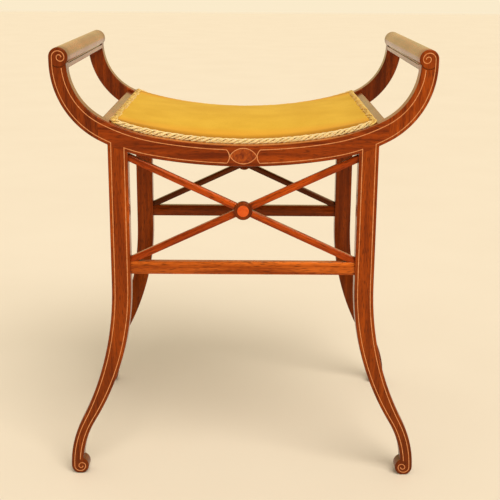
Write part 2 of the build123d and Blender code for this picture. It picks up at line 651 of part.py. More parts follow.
def plan_of_seat(grow, corner):
    """Column over the seat's plan, larger by grow on each side."""
    plan = RectangleRounded(2 * (SEAT_HALF_X + grow), 2 * (SEAT_HALF_Y + grow), corner)
    return extrude(plan, FAR)


braid = pad(-BRAID_THICKNESS, SEAT_CLEARANCE) - pad(0, 0)
braid = braid & plan_of_seat(BRAID_THICKNESS, BRAID_CORNER)
braid = braid - plan_of_seat(-BRAID_LAP, BRAID_CORNER / 2)
skirt = ribbon(top_edge, 2 * SEAT_CLEARANCE, SEAT_CLEARANCE - END_REBATE)
skirt = skirt & window(SEAT_HALF_X + SEAT_CLEARANCE, SEAT_HALF_X + BRAID_THICKNESS)
braid += slab(both_sides(skirt), INSIDE + SEAT_CLEARANCE, -INSIDE - SEAT_CLEARANCE)  # down into the rebates

# Every piece by its name
nodes = {
    "seat_webbing_long": webs_along,
    "seat_webbing_cross": webs_across,
    "seat_hessian": [hessian],
    "seat_stuffing": [stuffing],
    "seat_cover": [cover],
    "seat_braid": [braid],
    "arm_dowels": [],
    "end_rail_dowels": [],
    "handrail_dowels": [],
    "corner_block_screws": [],
}
for face_name, face_side in (("front", -1), ("back", 1)):
    nodes[face_name + "_rail"] = [quarter(seat_rail, 1, face_side)]
    nodes[face_name + "_stretcher"] = [quarter(stretcher, 1, face_side)]
    nodes[face_name + "_brace_rising"] = [quarter(brace_up, 1, face_side)]
    nodes[face_name + "_brace_falling"] = [quarter(brace_down, 1, face_side)]
    nodes[face_name + "_boss"] = [quarter(boss, 1, face_side)]
    nodes[face_name + "_boss_disc"] = [quarter(boss_disc, 1, face_side)]
    nodes[face_name + "_oval_veneer"] = [quarter(oval_veneer, 1, face_side)]
    nodes[face_name + "_stringing"] = [quarter(stringing, 1, face_side)]
    for side_name, side in (("left", -1), ("right", 1)):
        corner_name = face_name + "_" + side_name
        nodes[corner_name + "_leg"] = [quarter(leg, side, face_side)]
        nodes[corner_name + "_arm"] = [quarter(arm, side, face_side)]
        nodes[corner_name + "_corner_block"] = [quarter(corner_block, side, face_side)]
        nodes["arm_dowels"].append(quarter(arm_dowels(0), side, face_side))
        nodes["end_rail_dowels"].append(quarter(end_rail_dowels(0), side, face_side))
        nodes["handrail_dowels"].append(quarter(handrail_dowels(0), side, face_side))
        nodes["corner_block_screws"].append(quarter(corner_screws(0), side, face_side))
for side_name, side in (("left", -1), ("right", 1)):
    nodes[side_name + "_handrail"] = [quarter(handrail, side, -1)]
    nodes[side_name + "_end_rail"] = [quarter(end_rail, side, -1)]

os.makedirs("parts", exist_ok=True)
for name, shapes in nodes.items():
    solids = [solid for shape in shapes for solid in shape.solids()]
    export_step(solids[0] if len(solids) == 1 else Compound(children=solids), "parts/" + name + ".step")
print("pieces", len(nodes))
print("arm radius", round(ARM_RADIUS, 1), "top", round(TOP_SHOULDER_RADIUS, 1), round(TOP_ARM_RADIUS, 1))
print("height", round(SCROLL_Z + SCROLL_RADIUS, 1), "width", 2 * ARM_REACH, "depth", DEPTH)
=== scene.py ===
# %% [markdown]
# # A strung mahogany stool
# The wooden frame comes from the construction model and keeps its exact shape, so this lesson only
# polishes it. The soft parts are made here: a stuffed velvet seat, the twisted braid round its edge,
# and the webbing and hessian that carry it.

# %% Load the frame
import math
import random

import bmesh
import bpy
from mathutils import Matrix, Vector


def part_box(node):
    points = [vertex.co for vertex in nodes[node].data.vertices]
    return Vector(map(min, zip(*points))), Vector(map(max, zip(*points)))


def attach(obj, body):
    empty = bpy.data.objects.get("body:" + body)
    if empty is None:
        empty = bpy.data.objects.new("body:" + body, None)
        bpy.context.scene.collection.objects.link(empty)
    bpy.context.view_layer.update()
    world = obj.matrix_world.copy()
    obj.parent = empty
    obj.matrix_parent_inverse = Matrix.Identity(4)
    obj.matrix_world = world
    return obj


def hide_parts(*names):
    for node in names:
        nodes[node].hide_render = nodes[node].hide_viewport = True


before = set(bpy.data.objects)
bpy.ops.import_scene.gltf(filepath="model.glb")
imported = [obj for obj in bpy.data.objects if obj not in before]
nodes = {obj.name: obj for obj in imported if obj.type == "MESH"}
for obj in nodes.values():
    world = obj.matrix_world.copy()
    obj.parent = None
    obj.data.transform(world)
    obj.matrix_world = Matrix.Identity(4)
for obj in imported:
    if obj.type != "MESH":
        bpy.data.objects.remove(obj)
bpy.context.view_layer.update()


# %% [markdown]
# ## The camera
# The photograph was taken from a little above the scrolls, almost square to the front. The position,
# the lens and a slight roll were worked out from the floor and from the mirror symmetry of the stool.
# A camera in Blender looks along its own -Z, so it is tipped up by a right angle less the pitch.

# %% Camera
CAMERA_PLACE = (0.00648, -1.59506, 0.7495)
CAMERA_PITCH = 15.677  # degrees below the horizon
CAMERA_HEADING = 0.150  # degrees towards +X
CAMERA_ROLL = 0.3755  # degrees
CAMERA_LENS = 73.445  # mm
CAMERA_FRAME = 36  # mm, square

camera = bpy.data.objects.new("camera", bpy.data.cameras.new("camera"))
camera.data.lens = CAMERA_LENS
camera.data.sensor_width = CAMERA_FRAME
turn = Matrix.Rotation(math.radians(-CAMERA_HEADING), 4, "Z")
tip = Matrix.Rotation(math.radians(90 - CAMERA_PITCH), 4, "X")
roll = Matrix.Rotation(math.radians(CAMERA_ROLL), 4, "Z")
camera.matrix_world = Matrix.Translation(CAMERA_PLACE) @ turn @ tip @ roll
bpy.context.collection.objects.link(camera)
bpy.context.scene.camera = camera
print("camera at", CAMERA_PLACE, "with a lens of", CAMERA_LENS, "mm")

# %% [markdown]
# ## Colours, nodes and objects
# Colours are written as the sRGB hex values that a paint program shows. Shaders work in linear light,
# so one function converts them. Another adds a node, with its settings and its links, in one call.
# Shapes are worked on as a bmesh, and the last function turns one into an object.

# %% Helpers
def linear(code):
    """Linear colour of an sRGB hex value."""
    channels = [int(code[start:start + 2], 16) / 255 for start in (1, 3, 5)]
    bright = [c / 12.92 if c <= 0.04045 else ((c + 0.055) / 1.055) ** 2.4 for c in channels]
    return (*bright, 1.0)


def add_node(tree, kind, inputs, **settings):
    """New node. Each input gets a value, or a link from another node's output."""
    node = tree.nodes.new("ShaderNode" + kind)
    for name, value in settings.items():
        setattr(node, name, value)
    for name, value in inputs.items():
        if isinstance(value, bpy.types.NodeSocket):
            tree.links.new(value, node.inputs[name])
        else:
            node.inputs[name].default_value = value
    return node


def start_material(name):
    """Empty node material and its tree."""
    material = bpy.data.materials.new(name)
    material.use_nodes = True
    material.node_tree.nodes.clear()
    return material, material.node_tree


def add_object(name, shape):
    """Object made from a bmesh, which is then freed."""
    mesh = bpy.data.meshes.new(name)
    shape.to_mesh(mesh)
    shape.free()
    piece = bpy.data.objects.new(name, mesh)
    bpy.context.collection.objects.link(piece)
    return piece


MIX_A, MIX_B = 6, 7  # colour inputs of a Mix node
MIX_COLOUR = 2  # its colour output
print("a mid mahogany brown in linear light", [round(c, 3) for c in linear("#8E3A10")[:3]])

# %% [markdown]
# ## French-polished mahogany
# Mahogany is a red-brown wood with long ribbons of lighter and darker grain and short dark pores.
# French polish is many thin rubbed coats of shellac: a clear, soft gloss over the wood. Each piece was
# sawn with the grain along its length, so one function makes the material for a given direction.
# Noise stretched along the grain gives the ribbons and the pores. Old wax stays dark in the creases
# between pieces, deepened by painted shade where an Ambient Occlusion node finds them closed in. Painted
# shade darkens the legs towards the floor, and painted light makes the middle of the rails pale on top.

# %% Mahogany
RIBBON_WIDTH = 0.007
RIBBON_LENGTH = 0.16
PORE_WIDTH = 0.0010  # real pores are 0.3 mm wide, drawn wider so that they show
PORE_LENGTH = 0.012
TONE_SIZE = 0.09  # slow change from lighter to darker wood
CREASE_SIZE = 0.006
# painted shade: the legs grow darker towards the floor
FOOT_SHADE = (0.36, 0.04)  # the legs darken from the first height down to the second
# painted light: the rails' tops grow pale between these distances from their middle
TOP_LIGHT_SPAN = (0.17, 0.12)  # the rails grow pale between these distances from their middle
PORE_COLOUR = "#3C1103"
FOOT_SHADE_COLOUR = "#3A1606"
# painted light on the tops of the rails
TOP_LIGHT_COLOUR = "#D8863A"
# old wax with painted shade, for the creases between pieces
WAX_AND_SHADE_COLOUR = "#1C0802"


def polished_mahogany(name, dark, light, along, tilt=0.0, foot_shade=0.0, top_light=0.0, gloss=0.25):
    """Mahogany with its grain along an axis (0 for X, 1 for Y, 2 for Z), tilted in degrees about Y.

    Foot_shade is painted shade that darkens it near the floor, top_light is painted light that makes
    its top paler, and gloss is the weight of the polish.
    """
    material, tree = start_material(name)
    place = add_node(tree, "TexCoord", {}).outputs["Object"]
    parts = add_node(tree, "SeparateXYZ", {"Vector": place})
    place = add_node(tree, "Mapping", {"Vector": place, "Rotation": (0, math.radians(tilt), 0)}).outputs[0]

    def stretched(length, width):
        scale = [1 / width] * 3
        scale[along] = 1 / length
        return add_node(tree, "Mapping", {"Vector": place, "Scale": scale}).outputs[0]

    ribbon = add_node(
        tree,
        "TexNoise",
        {"Vector": stretched(RIBBON_LENGTH, RIBBON_WIDTH), "Scale": 1, "Detail": 3, "Roughness": 0.6},
    ).outputs["Fac"]
    pores = add_node(
        tree,
        "TexNoise",
        {"Vector": stretched(PORE_LENGTH, PORE_WIDTH), "Scale": 1, "Detail": 1},
    ).outputs["Fac"]
    tone = add_node(
        tree, "TexNoise", {"Vector": place, "Scale": 1 / TONE_SIZE, "Detail": 1}
    ).outputs["Fac"]
    ribbon = add_node(
        tree, "MapRange", {"Value": ribbon, "From Min": 0.34, "From Max": 0.66}
    ).outputs[0]
    pores = add_node(
        tree, "MapRange", {"Value": pores, "From Min": 0.52, "From Max": 0.68, "To Max": 0.65}
    ).outputs[0]
    tone = add_node(
        tree, "MapRange", {"Value": tone, "From Min": 0.35, "From Max": 0.65, "To Max": 0.45}
    ).outputs[0]
    wood = add_node(
        tree, "Mix", {0: ribbon, MIX_A: linear(dark), MIX_B: linear(light)}, data_type="RGBA"
    ).outputs[MIX_COLOUR]
    wood = add_node(
        tree, "Mix", {0: tone, MIX_A: wood, MIX_B: linear(dark)}, data_type="RGBA"
    ).outputs[MIX_COLOUR]
    wood = add_node(
        tree, "Mix", {0: pores, MIX_A: wood, MIX_B: linear(PORE_COLOUR)}, data_type="RGBA"
    ).outputs[MIX_COLOUR]
    # painted shade that darkens the legs near the floor
    low = add_node(
        tree,
        "MapRange",
        {
            "Value": parts.outputs["Z"],
            "From Min": FOOT_SHADE[0],
            "From Max": FOOT_SHADE[1],
            "To Max": foot_shade,
        },
    ).outputs[0]
    wood = add_node(
        tree, "Mix", {0: low, MIX_A: wood, MIX_B: linear(FOOT_SHADE_COLOUR)}, data_type="RGBA"
    ).outputs[MIX_COLOUR]
    # painted light: faces that look upward turn pale, as if lit from above, fading towards the rail's ends
    facing = add_node(tree, "NewGeometry", {}).outputs["Normal"]
    lit_top = add_node(tree, "SeparateXYZ", {"Vector": facing}).outputs["Z"]
    lit_top = add_node(
        tree, "MapRange", {"Value": lit_top, "From Min": 0.5, "From Max": 0.9, "To Max": top_light}
    ).outputs[0]
    sideways = add_node(tree, "Math", {0: parts.outputs["X"]}, operation="ABSOLUTE").outputs[0]
    lit_top = add_node(
        tree,
        "MapRange",
        {"Value": sideways, "From Min": TOP_LIGHT_SPAN[0], "From Max": TOP_LIGHT_SPAN[1], "To Max": lit_top},
    ).outputs[0]
    wood = add_node(
        tree, "Mix", {0: lit_top, MIX_A: wood, MIX_B: linear(TOP_LIGHT_COLOUR)}, data_type="RGBA"
    ).outputs[MIX_COLOUR]
    # painted shade and old wax: creases and joints darken where an Ambient Occlusion node finds them closed
    # in
    openness = add_node(tree, "AmbientOcclusion", {"Distance": CREASE_SIZE}, samples=8).outputs["AO"]
    crease = add_node(
        tree, "MapRange", {"Value": openness, "From Min": 0.62, "From Max": 0.25, "To Max": 0.9}
    ).outputs[0]
    wood = add_node(
        tree, "Mix", {0: crease, MIX_A: wood, MIX_B: linear(WAX_AND_SHADE_COLOUR)}, data_type="RGBA"
    ).outputs[MIX_COLOUR]
    shade = add_node(tree, "MapRange", {"Value": tone, "To Min": 0.26, "To Max": 0.40}).outputs[0]
    bump = add_node(tree, "Bump", {"Height": pores, "Strength": 0.12, "Distance": 0.0004}, invert=True)
    shader = add_node(
        tree,
        "BsdfPrincipled",
        {
            "Base Color": wood,
            "Roughness": shade,
            "IOR": 1.5,
            "Specular IOR Level": 0.3,
            "Specular Tint": linear("#E89C58"),
            "Normal": bump.outputs[0],
            "Coat Weight": gloss,
            "Coat Roughness": 0.1,
            "Coat IOR": 1.35,
        },
    )
    add_node(tree, "OutputMaterial", {"Surface": shader.outputs[0]})
    return material


BRACE_SLOPE = 25.0  # degrees from level
SHADED = ("#441603", "#6E2D08")  # dark and light ribbons of a deep board, darkened further by painted shade for the back braces
DARK = ("#561A03", "#8C3808")
DEEP = ("#641F04", "#A4430B")
WARM = ("#702604", "#B44E0C")
RED = ("#802806", "#D0550F")
BRIGHT = ("#8F3909", "#DA6E23")  # the same of a pale board, brightened further by painted light for the front stretcher
# the rail carries painted light on its top
mahogany_rail = polished_mahogany("polished_mahogany_rail", *DEEP, 0, top_light=0.65)
mahogany_arm = polished_mahogany("polished_mahogany_arm", *DARK, 2)
mahogany_pale_arm = polished_mahogany("polished_mahogany_pale_arm", *WARM, 2)
mahogany_leg = polished_mahogany("polished_mahogany_leg", *WARM, 2, foot_shade=0.55)
# the dark back leg is partly painted shade
mahogany_dark_leg_in_shade = polished_mahogany("polished_mahogany_dark_leg", *DARK, 2, foot_shade=0.55)
mahogany_cross = polished_mahogany("polished_mahogany_cross", *DEEP, 1, gloss=0.5)
# the front stretcher and braces are partly painted light, the back ones partly painted shade
mahogany_bar = polished_mahogany("polished_mahogany_bar", *BRIGHT, 0)
mahogany_back_bar_in_shade = polished_mahogany("polished_mahogany_back_bar", *DARK, 0)
mahogany_rising = polished_mahogany("polished_mahogany_rising", *RED, 0, BRACE_SLOPE)
mahogany_falling = polished_mahogany("polished_mahogany_falling", *RED, 0, -BRACE_SLOPE)
mahogany_back_rising_in_shade = polished_mahogany("polished_mahogany_back_rising", *SHADED, 0, BRACE_SLOPE)
mahogany_back_falling_in_shade = polished_mahogany("polished_mahogany_back_falling", *SHADED, 0, -BRACE_SLOPE)
cuts = [wood.name for wood in bpy.data.materials if wood.name.startswith("polished_mahogany")]
print("mahogany in", len(cuts), "cuts")

# %% [markdown]
# ## Inlay woods
# The strings are thin strips of boxwood, a close pale wood that the polish has turned orange. The disc in
# each boss is a brighter cut of satinwood, and the oval is a veneer of curled mahogany. All were polished
# together with the frame, so they share its gloss. They differ in colour and in figure.

# %% Boxwood, satinwood and curled veneer
def inlay_wood(name, dark, light, figure_size):
    """Polished inlay wood with a cloudy figure of that size."""
    material, tree = start_material(name)
    place = add_node(tree, "TexCoord", {}).outputs["Object"]
    figure = add_node(
        tree,
        "TexNoise",
        {"Vector": place, "Scale": 1 / figure_size, "Detail": 3, "Roughness": 0.6, "Distortion": 1.2},
    ).outputs["Fac"]
    figure = add_node(
        tree, "MapRange", {"Value": figure, "From Min": 0.35, "From Max": 0.65}
    ).outputs[0]
    wood = add_node(
        tree, "Mix", {0: figure, MIX_A: linear(dark), MIX_B: linear(light)}, data_type="RGBA"
    ).outputs[MIX_COLOUR]
    shader = add_node(
        tree,
        "BsdfPrincipled",
        {
            "Base Color": wood,
            "Roughness": 0.34,
            "IOR": 1.5,
            "Specular IOR Level": 0.3,
            "Specular Tint": linear("#E8A66E"),
            "Coat Weight": 0.45,
            "Coat Roughness": 0.1,
            "Coat IOR": 1.35,
        },
    )
    add_node(tree, "OutputMaterial", {"Surface": shader.outputs[0]})
    return material


boxwood = inlay_wood("polished_boxwood", "#C87A46", "#E09A66", figure_size=0.006)
satinwood = inlay_wood("polished_satinwood", "#C94A12", "#DC5E1E", figure_size=0.008)
veneer = inlay_wood("curled_mahogany_veneer", "#6E2404", "#A84A10", figure_size=0.007)
print("inlay woods", boxwood.name, satinwood.name, veneer.name)

# %% [markdown]
# ## Hidden wood and screws
# Corner blocks and dowels are plain beech: pale, unpolished, with fine flecks along the grain. The screws
# are dull steel. Only a view from below shows any of them.

# %% Beech and steel
FLECK_RATE = (60, 800, 800)  # flecks in a metre, along the grain and across it
STAIN_RATE = 400  # stains in a metre


def plain_beech():
    """Unpolished beech with its grain along X."""
    material, tree = start_material("plain_beech")
    place = add_node(tree, "TexCoord", {}).outputs["Object"]
    along = add_node(tree, "Mapping", {"Vector": place, "Scale": FLECK_RATE}).outputs[0]
    fleck = add_node(tree, "TexNoise", {"Vector": along, "Scale": 1, "Detail": 2}).outputs["Fac"]
    wood = add_node(
        tree, "Mix", {0: fleck, MIX_A: linear("#8F6A42"), MIX_B: linear("#C9A57A")}, data_type="RGBA"
    ).outputs[MIX_COLOUR]
    bump = add_node(tree, "Bump", {"Height": fleck, "Strength": 0.3, "Distance": 0.0004})
    shader = add_node(
        tree, "BsdfPrincipled", {"Base Color": wood, "Roughness": 0.7, "Normal": bump.outputs[0]}
    )
    add_node(tree, "OutputMaterial", {"Surface": shader.outputs[0]})
    return material


def dull_steel():
    """Steel that is stained here and there."""
    material, tree = start_material("dull_steel")
    place = add_node(tree, "TexCoord", {}).outputs["Object"]
    stain = add_node(tree, "TexNoise", {"Vector": place, "Scale": STAIN_RATE, "Detail": 2}).outputs["Fac"]
    rough = add_node(tree, "MapRange", {"Value": stain, "To Min": 0.35, "To Max": 0.65}).outputs[0]
    shader = add_node(
        tree,
        "BsdfPrincipled",
        {"Base Color": linear("#9A9690"), "Metallic": 1, "Roughness": rough},
    )
    add_node(tree, "OutputMaterial", {"Surface": shader.outputs[0]})
    return material


beech = plain_beech()
steel = dull_steel()
print("hidden materials", beech.name, steel.name)

# %% [markdown]
# ## Polish the frame
# Each piece of the frame gets its material by name, with the grain along its own length. The boards didn't
# all come from one tree, so an arm is paler than the others. The back braces, the back stretcher and the
# right back leg are darker than the pieces in front, partly by board tone and partly by painted shade, and
# the front braces and stretcher are redder and brighter, partly by painted light.

# %% Give every wooden piece its finish
finishes = {
    "rail": mahogany_rail,
    "front_stretcher": mahogany_bar,
    "back_stretcher": mahogany_back_bar_in_shade,
    "front_brace_rising": mahogany_rising,
    "front_brace_falling": mahogany_falling,
    "back_brace_rising": mahogany_back_rising_in_shade,
    "back_brace_falling": mahogany_back_falling_in_shade,
    "boss": mahogany_arm,
    "boss_disc": satinwood,
    "oval_veneer": veneer,
    "stringing": boxwood,
    "leg": mahogany_leg,
    "back_right_leg": mahogany_dark_leg_in_shade,
    "arm": mahogany_arm,
    "front_right_arm": mahogany_pale_arm,
    "handrail": mahogany_cross,
    "end_rail": mahogany_cross,
    "corner_block": beech,
    "dowels": beech,
    "screws": steel,
}
dressed = 0
for name, piece in nodes.items():
    endings = [ending for ending in finishes if ("_" + name).endswith("_" + ending)]
    if endings:
        piece.data.materials.clear()
        piece.data.materials.append(finishes[max(endings, key=len)])
        dressed += 1
print("polished", dressed, "of", len(nodes), "pieces")

# %% [markdown]
# ## The curve under the seat
# The seat follows the dished top of the rails: a wide arc in the middle that runs into a tighter one over
# each leg. Every soft piece sits on this curve, so its height is one function.

# %% Height of the rail's top
RAIL_TOP = 0.506  # at the middle
MIDDLE_RADIUS = 0.7307
MIDDLE_TURN = math.radians(9.5)
SHOULDER_RADIUS = 0.2538


def rail_top(x):
    """Height of the rail's top."""
    if abs(x) <= MIDDLE_RADIUS * math.sin(MIDDLE_TURN):
        return RAIL_TOP + MIDDLE_RADIUS - math.sqrt(MIDDLE_RADIUS**2 - x**2)
    offset = MIDDLE_RADIUS - SHOULDER_RADIUS
    centre_x = offset * math.sin(MIDDLE_TURN)
    centre_z = RAIL_TOP + MIDDLE_RADIUS - offset * math.cos(MIDDLE_TURN)
    return centre_z - math.sqrt(SHOULDER_RADIUS**2 - (abs(x) - centre_x) ** 2)


HALF_X, HALF_Y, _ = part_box("seat_cover")[1]
end_rise = rail_top(HALF_X) - RAIL_TOP
print("rail rises", round(1000 * end_rise, 1), "mm from the middle to the end of the seat")

# %% [markdown]
# ## The stuffed seat
# An upholsterer builds the seat up from hair and wadding, pulls velvet over it and tacks the edge to the
# rails. The pad starts here as a box with fine divisions, bent to the rail's curve with a crowned top and
# rounded edges. Cloth simulation with some pressure inside then swells it like real stuffing, while the
# tacked lower edge is held. It starts a little small, because it swells.

# %% Shape of the pad
EDGE_HEIGHT = 0.0064  # seat above the rail, at the middle of its front and back edge
END_HEIGHT = 0.0026  # the same at its ends
CROWN = 0.0140  # rise of the middle above the edge
EDGE_ROUND = 0.0050
CORNER_ROUND = 0.007
SWELL_ROOM = 0.0014  # the top starts this much lower
SWELL_MARGIN = 0.030  # no room is left at the tacked edge, and all of it this far inside
CLEARANCE = 0.0004  # between the pad and the wood
BASE_HEIGHT = 0.0034  # underside above the rail, over the hessian
BASE_RISE = (0.0020, 0.0055)  # the underside rises between these distances from the edge
TUCK = 0.0008  # the side is drawn in behind the braid
HELD_SHARE = 0.45  # lower share of the height, which the tacks hold
CUTS_X, CUTS_Y, CUTS_Z = 71, 67, 5
EDGE_CROWDING = 0.42  # divisions crowd towards the edges, where the pad turns over


def crowd(share):
    """Share of the half width for an even share, with finer steps near the edge."""
    return share * (1 + EDGE_CROWDING) - EDGE_CROWDING * share**3


def ease(share):
    """Smooth step from 0 to 1."""
    share = min(max(share, 0), 1)
    return share * share * (3 - 2 * share)


def seat_top(x, y):
    """Top of the seat before its edges turn over."""
    middle = RAIL_TOP + EDGE_HEIGHT + CROWN * (1 - (y / HALF_Y) ** 2)
    end = rail_top(HALF_X) + END_HEIGHT
    return middle + (end - middle) * (x / HALF_X) ** 2


def round_corner(x, y):
    """Point of the seat's plan, moved so that the corner becomes a quarter circle."""
    over_x = abs(x) - (HALF_X - CORNER_ROUND)
    over_y = abs(y) - (HALF_Y - CORNER_ROUND)
    if min(over_x, over_y) <= 0:
        return x, y
    pull = max(over_x, over_y) / math.hypot(over_x, over_y)
    x = math.copysign(HALF_X - CORNER_ROUND + over_x * pull, x)
    y = math.copysign(HALF_Y - CORNER_ROUND + over_y * pull, y)
    return x, y


pad = bmesh.new()
bmesh.ops.create_cube(pad, size=2)
for axis, cuts in enumerate((CUTS_X, CUTS_Y, CUTS_Z)):
    lines = []
    for edge in pad.edges:
        run = edge.verts[0].co - edge.verts[1].co
        if abs(run[axis]) > 1e-6:
            lines.append(edge)
    bmesh.ops.subdivide_edges(pad, edges=lines, cuts=cuts, use_grid_fill=True)

held = []
for vertex in pad.verts:
    level = (vertex.co.z + 1) / 2
    x, y = crowd(vertex.co.x) * HALF_X, crowd(vertex.co.y) * HALF_Y
    inside = min(HALF_X - abs(x), HALF_Y - abs(y))
    x, y = round_corner(x, y)
    turned = EDGE_ROUND - min(inside, EDGE_ROUND)
    sink = EDGE_ROUND - math.sqrt(EDGE_ROUND**2 - turned**2)
    risen = ease((inside - BASE_RISE[0]) / (BASE_RISE[1] - BASE_RISE[0]))
    low = rail_top(x) + CLEARANCE + (BASE_HEIGHT - CLEARANCE) * risen
    high = seat_top(x, y) - sink - SWELL_ROOM * min(inside / SWELL_MARGIN, 1)
    high = max(high, low + CLEARANCE)
    draw = 1 - TUCK * (1 - level) / HALF_X
    vertex.co = (x * draw, y * draw, low + (high - low) * level)
    held.append(level < HELD_SHARE)
bmesh.ops.recalc_face_normals(pad, faces=pad.faces)
seat = add_object("velvet_seat", pad)
seat_mesh = seat.data
print("pad of", len(seat_mesh.vertices), "points")

# %% [markdown]
# ## Swell the stuffing
# The simulation runs for twenty frames without gravity. The tacked edge is a vertex group that stays put.
# Afterwards no point may have moved further than a set distance, the result is written into the mesh,
# and the Cloth modifier goes.

# %% Cloth with pressure
PRESSURE = 4.0
SWELL_LIMIT = 0.0016  # furthest that a point may move
SWELL_FRAMES = 20

tacked = seat.vertex_groups.new(name="tacked_edge")
tacked.add([index for index, fixed in enumerate(held) if fixed], 1.0, "REPLACE")
cloth = seat.modifiers.new("stuffing", "CLOTH")
cloth.settings.quality = 6
cloth.settings.mass = 0.3
cloth.settings.tension_stiffness = 30
cloth.settings.compression_stiffness = 30
cloth.settings.shear_stiffness = 12
cloth.settings.bending_stiffness = 2
cloth.settings.vertex_group_mass = tacked.name
cloth.settings.use_pressure = True
cloth.settings.uniform_pressure_force = PRESSURE
cloth.settings.effector_weights.gravity = 0
cloth.point_cache.frame_end = SWELL_FRAMES
for moment in range(1, SWELL_FRAMES + 1):
    bpy.context.scene.frame_set(moment)
swollen = seat.evaluated_get(bpy.context.evaluated_depsgraph_get())
moved = [point.co.copy() for point in swollen.data.vertices]
furthest = 0.0
for vertex, place in zip(seat_mesh.vertices, moved):
    step = place - vertex.co
    furthest = max(furthest, step.length)
    if step.length > SWELL_LIMIT:
        step.length = SWELL_LIMIT
    vertex.co += step
seat.modifiers.remove(cloth)
bpy.context.scene.frame_set(1)
print("stuffing moved up to", round(1000 * furthest, 1), "mm")
for polygon in seat_mesh.polygons:
    polygon.use_smooth = True
finer = seat.modifiers.new("finer", "SUBSURF")
finer.levels = finer.render_levels = 1

# %% [markdown]
# ## Gold velvet
# Velvet is a cloth of upright silk or cotton threads, cut short. The pile is rough and deep in colour seen
# along the threads, and shines softly where it leans away, so the shader has sheen. Strokes of a hand leave
# patches that lean differently, and the pile itself shows as a fine grain. Beside the braid the cloth is
# drawn down into a crease: painted shade darkens it there, and painted light makes it a deeper orange
# where it swells.

# %% Velvet
PATCH_SIZE = 0.06
PILE_SIZE = 0.0012
CREASE_SHADE = (0.007, 0.024)  # painted shade: dark up to the first distance from the front or back edge, plain past the second
SWELL_LIGHT = (0.014, 0.060)  # the same for the painted light that turns the swell orange


def gold_velvet():
    """Velvet with brushed patches, and painted shade and light along the crease and swell of its front and
    back.
    """
    material, tree = start_material("gold_velvet")
    place = add_node(tree, "TexCoord", {}).outputs["Object"]
    patch = add_node(
        tree, "TexNoise", {"Vector": place, "Scale": 1 / PATCH_SIZE, "Detail": 2, "Roughness": 0.5}
    ).outputs["Fac"]
    pile = add_node(
        tree, "TexNoise", {"Vector": place, "Scale": 1 / PILE_SIZE, "Detail": 1}
    ).outputs["Fac"]
    patch = add_node(
        tree, "MapRange", {"Value": patch, "From Min": 0.35, "From Max": 0.65}
    ).outputs[0]
    pile = add_node(
        tree, "MapRange", {"Value": pile, "From Min": 0.3, "From Max": 0.7, "To Max": 0.35}
    ).outputs[0]
    cloth_colour = add_node(
        tree, "Mix", {0: patch, MIX_A: linear("#DEB02C"), MIX_B: linear("#EABF3A")}, data_type="RGBA"
    ).outputs[MIX_COLOUR]
    cloth_colour = add_node(
        tree, "Mix", {0: pile, MIX_A: cloth_colour, MIX_B: linear("#B88414")}, data_type="RGBA"
    ).outputs[MIX_COLOUR]
    depth = add_node(tree, "SeparateXYZ", {"Vector": place}).outputs["Y"]
    depth = add_node(tree, "Math", {0: depth}, operation="ABSOLUTE").outputs[0]
    # painted light turns the swell orange, and painted shade darkens the crease
    for (full, end), strength, colour in ((SWELL_LIGHT, 0.50, "#E8981C"), (CREASE_SHADE, 0.70, "#925F0C")):
        near = add_node(
            tree,
            "MapRange",
            {"Value": depth, "From Min": HALF_Y - end, "From Max": HALF_Y - full, "To Max": strength},
            interpolation_type="SMOOTHSTEP",
        ).outputs[0]
        cloth_colour = add_node(
            tree, "Mix", {0: near, MIX_A: cloth_colour, MIX_B: linear(colour)}, data_type="RGBA"
        ).outputs[MIX_COLOUR]
    bump = add_node(tree, "Bump", {"Height": pile, "Strength": 0.35, "Distance": 0.0006})
    shader = add_node(
        tree,
        "BsdfPrincipled",
        {
            "Base Color": cloth_colour,
            "Roughness": 0.9,
            "Specular IOR Level": 0.2,
            "Normal": bump.outputs[0],
            "Sheen Weight": 0.35,
            "Sheen Roughness": 0.45,
            "Sheen Tint": linear("#F6D884"),
        },
    )
    add_node(tree, "OutputMaterial", {"Surface": shader.outputs[0]})
    return material


velvet = gold_velvet()
seat_mesh.materials.append(velvet)
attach(seat, "root")
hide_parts("seat_cover", "seat_stuffing")
print("seat in", velvet.name)

# %% [markdown]
# ## The braid
# The raw edge of the velvet is covered by gimp: a narrow braid of silk strands, twisted like a rope over a
# woven tape. It is glued over the edge of the seat, so it leans: its outer side stands on the
# wood and its inner side lies on the velvet. A point of the braid is given by a distance round the seat
# and a share across it, from 0 at the wood to 1 on the velvet.

# %% Place on the braid
BRAID_CORNER = 0.006
BRAID_OUT = 0.0008  # outer side outside the seat
BRAID_LAP = 0.0028  # inner side over the top of the seat, at the front and back
END_LAP = 0.0070  # the same at the ends
BRAID_LIFT = 0.0003  # tape above wood and velvet
REBATE = 0.0046  # the end rails step down beside the seat
REBATE_END = 0.1668  # up to the inside of the front and back rails
REBATE_SLOPE = 0.006

plan = bmesh.new()
bmesh.ops.create_grid(plan, x_segments=1, y_segments=1, size=1)
bmesh.ops.scale(plan, vec=(HALF_X + BRAID_OUT, HALF_Y + BRAID_OUT, 1), verts=plan.verts)
bmesh.ops.bevel(
    plan, geom=plan.verts[:], offset=BRAID_CORNER, segments=6, profile=0.5, affect="VERTICES", material=-1
)
plan.faces.ensure_lookup_table()
line = [loop.vert.co.copy() for loop in plan.faces[0].loops]
plan.free()
around = sum((line[index] - line[index - 1]).length for index in range(len(line)))


def on_line(distance):
    """Point and outward direction at a distance along the line round the seat."""
    distance %= around
    for index in range(len(line)):
        run = line[index] - line[index - 1]
        if distance <= run.length:
            ahead = run.normalized()
            return line[index - 1] + ahead * distance, Vector((ahead.y, -ahead.x, 0))
        distance -= run.length
    return line[-1], Vector((0, -1, 0))


